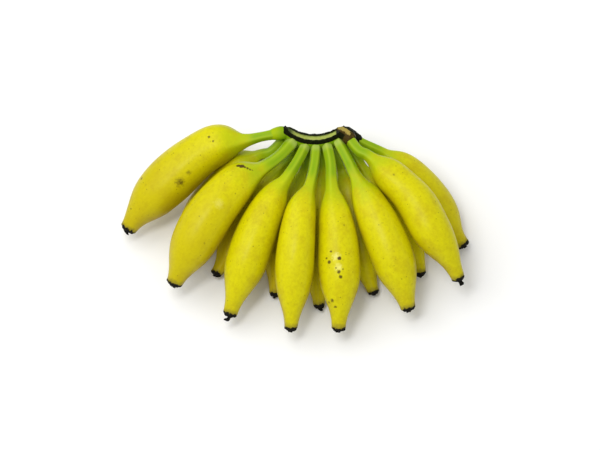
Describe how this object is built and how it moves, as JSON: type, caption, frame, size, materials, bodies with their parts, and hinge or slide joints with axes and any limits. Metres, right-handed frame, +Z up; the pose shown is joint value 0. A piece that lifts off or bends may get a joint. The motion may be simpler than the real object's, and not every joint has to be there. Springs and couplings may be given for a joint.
{
  "type": "hand of bananas",
  "caption": "Hand of short, plump bananas in two rows on a curved cut crown, lying on a table with its hollow side down.",
  "frame": {"origin": "on the table, under the middle of the hand's box", "axes": "+X across the hand from the first finger to the last, +Y from the blossom ends towards the crown, +Z up from the table"},
  "size_m": [0.2802, 0.1696, 0.072],
  "materials": {
    "peel": "ripe banana peel: bright yellow and softly waxy, yellow-green towards the stalk, with a dry black blossom end",
    "crown": "green crown with a pale fibrous cut face and a dry, nearly black rim"
  },
  "bodies": {
    "root": {"crown": "crown", "front_finger_1": "peel", "front_finger_2": "peel", "front_finger_3": "peel", "front_finger_4": "peel", "front_finger_5": "peel", "front_finger_6": "peel", "front_finger_7": "peel", "back_finger_1": "peel", "back_finger_2": "peel", "back_finger_3": "peel", "back_finger_4": "peel", "back_finger_5": "peel", "back_finger_6": "peel", "back_finger_7": "peel"}
  },
  "joints": []
}
